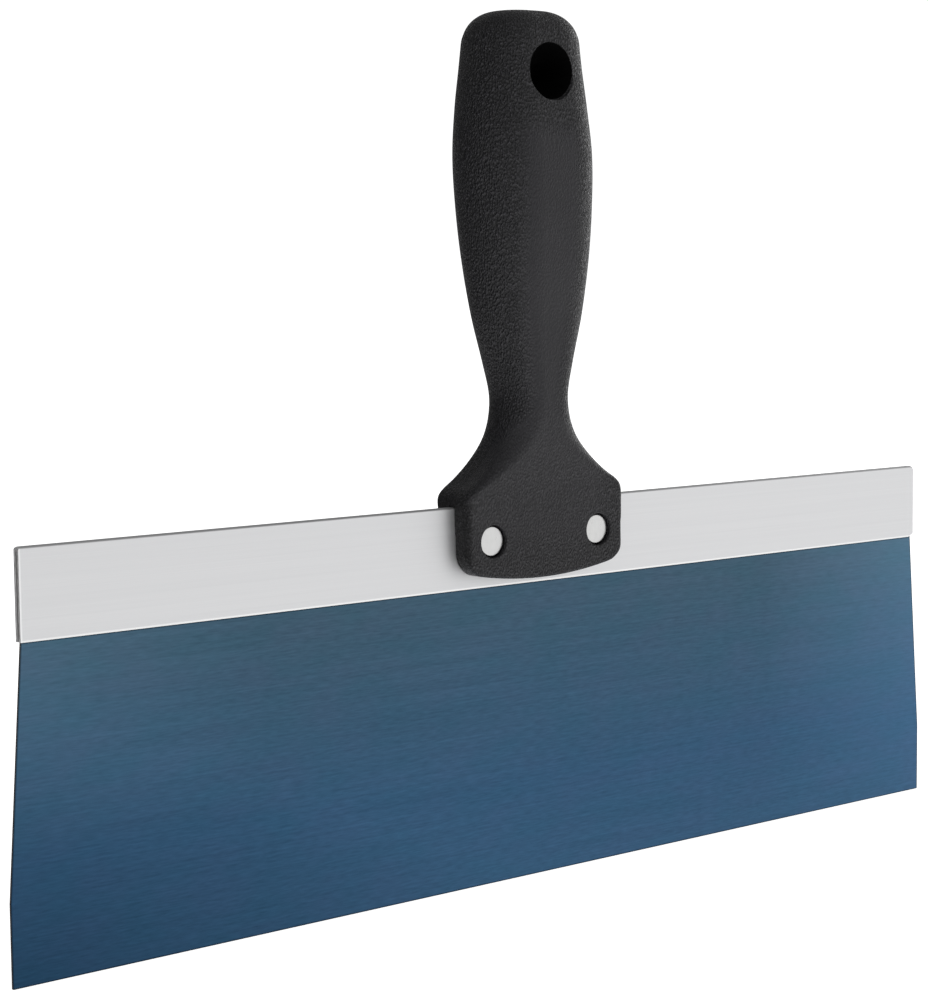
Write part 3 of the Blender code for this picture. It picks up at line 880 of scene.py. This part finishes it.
def head_profile(radius, face, seat):
    """Half of a rivet head from its centre out: a barely crowned face and a rounded rim."""
    flat = radius - HEAD_ROUND
    points = [(flat * i / CROWN_STEPS, face - HEAD_CROWN * (i / CROWN_STEPS) ** 2)
              for i in range(CROWN_STEPS + 1)]
    rim = face - HEAD_CROWN - HEAD_ROUND
    for i in range(1, RIM_STEPS + 1):
        angle = 0.5 * math.pi * i / RIM_STEPS
        points.append((flat + HEAD_ROUND * math.sin(angle), rim + HEAD_ROUND * math.cos(angle)))
    return points + [(radius, seat)]


def make_rivets():
    """Both rivets, each a post at the front and a sleeve at the back."""
    nickel = nickel_plate()
    head_radius = (POST_HIGH.x - POST_LOW.x) / 2.0
    face = SLEEVE_HIGH.y
    seat = face - HEAD_THICKNESS
    bore = POST_RADIUS + RIVET_GAP
    bore_end = seat - SLEEVE_WALL_END
    head = head_profile(head_radius, face, seat)
    post = [(r, -y) for r, y in head]
    post += [(POST_RADIUS, -seat), (POST_RADIUS, POST_HIGH.y - POST_TIP),
             (POST_RADIUS - POST_TIP, POST_HIGH.y), (0.0, POST_HIGH.y)]
    sleeve = head + [(SLEEVE_RADIUS, seat), (SLEEVE_RADIUS, SLEEVE_LOW.y), (bore, SLEEVE_LOW.y),
                     (bore, bore_end), (0.0, bore_end)]
    for side, x in rivet_places():
        for kind, profile in (("post", post), ("sleeve", sleeve)):
            piece = tilted(turned(f"rivet_{kind}_{side}_turned", profile, (nickel,)), x)
            finish(piece, f"rivet_{kind}_{side}")


# ---------------------------------------------------------------- stage, lights, camera

FLOOR_DROP = 0.2 * MM
FLOOR_HALF_SIDE = 20.0
FLOOR_GLOW = 0.85
FLOOR_GREY = (0.88, 0.88, 0.88)
FLOOR_PALE = (0.92, 0.92, 0.92)
FLOOR_GRAIN = (40.0, 40.0, 40.0)
FLOOR_SPECULAR = 0.1
# Places in the studio are given as azimuth and elevation, in degrees. This is its bright side.
KEY = (76.0, 4.0)
# How bright the studio is, from straight away from the bright side (0) to straight at it (1).
ROOM_LIGHT = ((0.0, 0.05), (0.12, 0.05), (0.25, 0.33), (0.42, 0.50), (0.62, 0.52), (0.8, 0.76),
              (0.94, 0.92), (1.0, 1.05))
# Behind on the left the room is dark: the cosines where that starts and is full, and what is left.
DARK_CORNER = (212.0, -5.0)
DARK_CORNER_EDGE = (0.60, 0.93)
DARK_CORNER_LIGHT = 0.22
# The ceiling dims the room above, and the floor sends light up from below, by the direction's Z.
CEILING_EDGE = (0.15, 0.75)
CEILING_LIGHT = 0.50
FLOOR_EDGE = (-0.90, -0.20)
FLOOR_BOUNCE = 0.95
# White cards: azimuth, elevation, the cosines where their glow starts and is full, brightness.
CARDS = ((-48.0, -36.0, 0.74, 0.98, 0.95), (-64.0, 30.0, 0.84, 0.99, 0.95),
         (0.0, 88.0, 0.80, 0.98, 0.30))
BACKDROP_LIGHT = 1.1
# A small soft box: azimuth, elevation, distance, size and power.
SOFT_BOX = (110.0, 12.0, 1.5, (0.6, 0.8), 3.0)


def towards(azimuth, elevation):
    """A direction. Azimuth 0 is in front of the knife, 90 on its +X side."""
    a, e = math.radians(azimuth), math.radians(elevation)
    return Vector((math.sin(a) * math.cos(e), -math.cos(a) * math.cos(e), math.sin(e)))


def make_floor():
    """A pale floor, faintly lit from within like a studio light table."""
    tool = bmesh.new()
    bmesh.ops.create_grid(tool, x_segments=2, y_segments=2, size=FLOOR_HALF_SIDE)
    floor = build("floor", tool)
    floor.location.z = -FLOOR_DROP
    n = Nodes("pale_floor", 0.9, 0.0)
    grain = n.noise(n.stretched(FLOOR_GRAIN), detail=3.0)
    n.colour(n.blend(grain, FLOOR_GREY, FLOOR_PALE))
    n.shader.inputs["Specular IOR Level"].default_value = FLOOR_SPECULAR
    n.shader.inputs["Emission Color"].default_value = (*WHITE, 1.0)
    n.shader.inputs["Emission Strength"].default_value = FLOOR_GLOW
    floor.data.materials.append(n.material)
    floor.visible_glossy = False
    floor.visible_diffuse = False
    floor.visible_shadow = False


def area_light(name, azimuth, elevation, distance, size, power):
    """A rectangular soft box aimed at the knife."""
    light = bpy.data.lights.new(name, "AREA")
    light.shape = "RECTANGLE"
    light.size, light.size_y = size
    light.energy = power
    away = towards(azimuth, elevation)
    lamp = bpy.data.objects.new(name, light)
    lamp.visible_camera = False
    lamp.location = Vector((0.0, 0.0, 0.5 * HANDLE_TOP)) + away * distance
    lamp.rotation_euler = away.to_track_quat("Z", "Y").to_euler()
    bpy.context.scene.collection.objects.link(lamp)


def make_world():
    """A white studio: bright on the right, dark behind on the left, with a bright floor below."""
    world = bpy.data.worlds.new("studio")
    world.use_nodes = True
    tree = world.node_tree

    def add(kind, **settings):
        node = tree.nodes.new(kind)
        for key, value in settings.items():
            setattr(node, key, value)
        return node

    def spread(value, low, high, to_low, to_high):
        node = add("ShaderNodeMapRange", interpolation_type="SMOOTHSTEP")
        for socket, number in zip(node.inputs[1:5], (low, high, to_low, to_high)):
            socket.default_value = number
        tree.links.new(value, node.inputs["Value"])
        return node.outputs["Result"]

    def multiply_add(first, second, third):
        node = add("ShaderNodeMath", operation="MULTIPLY_ADD")
        for value, socket in zip((first, second, third), node.inputs):
            if isinstance(value, float):
                socket.default_value = value
            else:
                tree.links.new(value, socket)
        return node.outputs[0]

    direction = add("ShaderNodeTexCoord").outputs["Generated"]

    def aimed(place):
        """How closely a direction of view points at a place in the studio."""
        node = add("ShaderNodeVectorMath", operation="DOT_PRODUCT")
        node.inputs[1].default_value = towards(*place)
        tree.links.new(direction, node.inputs[0])
        return node.outputs["Value"]

    ramp = add("ShaderNodeValToRGB")
    ramp.color_ramp.interpolation = "B_SPLINE"
    while len(ramp.color_ramp.elements) < len(ROOM_LIGHT):
        ramp.color_ramp.elements.new(0.5)
    for element, (place, light) in zip(ramp.color_ramp.elements, ROOM_LIGHT):
        element.position = place
        element.color = (light, light, light, 1.0)
    tree.links.new(multiply_add(aimed(KEY), 0.5, 0.5), ramp.inputs["Fac"])
    split = add("ShaderNodeSeparateXYZ")
    tree.links.new(direction, split.inputs[0])
    ceiling = spread(split.outputs["Z"], *CEILING_EDGE, 1.0, CEILING_LIGHT)
    dark_corner = spread(aimed(DARK_CORNER), *DARK_CORNER_EDGE, 1.0, DARK_CORNER_LIGHT)
    room_light = multiply_add(ceiling, dark_corner, 0.0)
    extra = spread(split.outputs["Z"], *FLOOR_EDGE, FLOOR_BOUNCE, 0.0)
    for azimuth, elevation, start, full, light in CARDS:
        card = spread(aimed((azimuth, elevation)), start, full, 0.0, light)
        extra = multiply_add(card, 1.0, extra)

    room = tree.nodes["Background"]
    room.inputs["Color"].default_value = (*WHITE, 1.0)
    strength = multiply_add(ramp.outputs["Color"], room_light, extra)
    tree.links.new(strength, room.inputs["Strength"])
    backdrop = add("ShaderNodeBackground")
    backdrop.inputs["Color"].default_value = (*WHITE, 1.0)
    backdrop.inputs["Strength"].default_value = BACKDROP_LIGHT
    seen = add("ShaderNodeLightPath")
    mix = add("ShaderNodeMixShader")
    tree.links.new(seen.outputs["Is Camera Ray"], mix.inputs[0])
    tree.links.new(room.outputs[0], mix.inputs[1])
    tree.links.new(backdrop.outputs[0], mix.inputs[2])
    tree.links.new(mix.outputs[0], tree.nodes["World Output"].inputs["Surface"])
    bpy.context.scene.world = world


CAMERA_PLACE = Vector((-0.40302, -0.45603, 0.15501))
CAMERA_AIM = Vector((0.63758, 0.76455, -0.09463))
CAMERA_RIGHT = Vector((0.76737, -0.64113, -0.00971))
CAMERA_LENS = 86.3
CAMERA_SENSOR = 36.0


def make_camera():
    """A long lens from the front and the left, a little above the blade's spine."""
    data = bpy.data.cameras.new("camera")
    data.lens = CAMERA_LENS
    data.sensor_width = CAMERA_SENSOR
    camera = bpy.data.objects.new("camera", data)
    aim = CAMERA_AIM.normalized()
    right = (CAMERA_RIGHT - aim * CAMERA_RIGHT.dot(aim)).normalized()
    up = right.cross(aim)
    turn = Matrix((right, up, -aim)).transposed()
    camera.matrix_world = Matrix.Translation(CAMERA_PLACE) @ turn.to_4x4()
    bpy.context.scene.collection.objects.link(camera)
    bpy.context.scene.camera = camera


make_blade()
make_spine()
make_handle()
make_rivets()
make_floor()
make_world()
area_light("key", *SOFT_BOX)
make_camera()
bpy.context.scene.view_settings.view_transform = "Standard"
